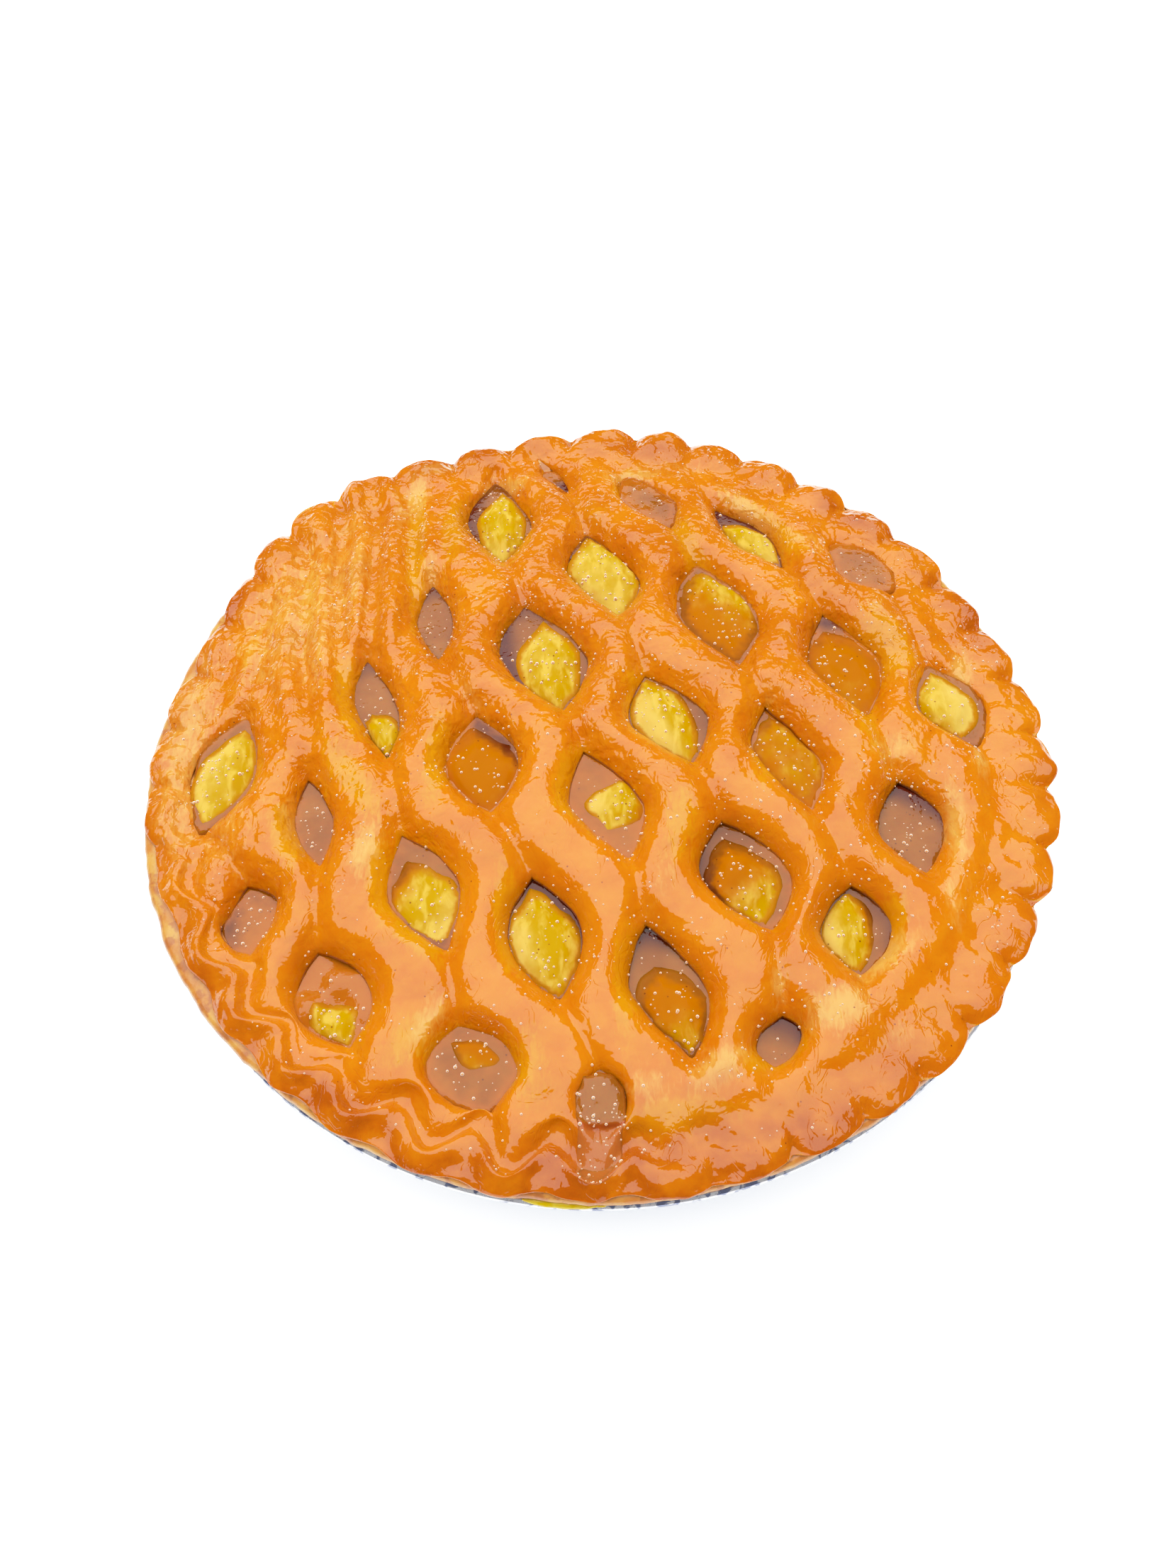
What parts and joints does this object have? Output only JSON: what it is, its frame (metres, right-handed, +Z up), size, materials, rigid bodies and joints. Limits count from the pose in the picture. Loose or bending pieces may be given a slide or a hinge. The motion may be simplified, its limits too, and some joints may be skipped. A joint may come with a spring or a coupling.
{
  "type": "lattice apple pie",
  "caption": "Round glazed fruit pie in a foil tin, with a domed slit-lattice lid, a crimped edge and apple showing in the openings.",
  "frame": {"origin": "centre of the foil tin's base, on the table", "axes": "+Z up through the middle of the tin; -Y is the side nearest the viewer in the usual view"},
  "size_m": [0.2014, 0.2022, 0.0405],
  "materials": {
    "tin_foil": "thin pressed foil, bright, with pleated walls and a rolled rim",
    "bottom_crust": "pale baked shortcrust, barely glazed",
    "gelled_filling": "cloudy mauve-brown starch gel, wet and glossy",
    "glazed_crust": "golden-brown baked lid under a clear shiny glaze",
    "apple": "cooked yellow-green apple flesh, wet with gel"
  },
  "bodies": {
    "root": {"tin": "tin_foil", "bottom_crust": "bottom_crust", "filling": "gelled_filling", "lattice_crust": "glazed_crust", "apple_01": "apple", "apple_02": "apple", "apple_03": "apple", "apple_04": "apple", "apple_05": "apple", "apple_06": "apple", "apple_07": "apple", "apple_08": "apple", "apple_09": "apple", "apple_10": "apple", "apple_11": "apple", "apple_12": "apple", "apple_13": "apple", "apple_14": "apple", "apple_15": "apple", "apple_16": "apple", "apple_17": "apple", "apple_18": "apple", "apple_19": "apple", "apple_20": "apple"}
  },
  "joints": []
}
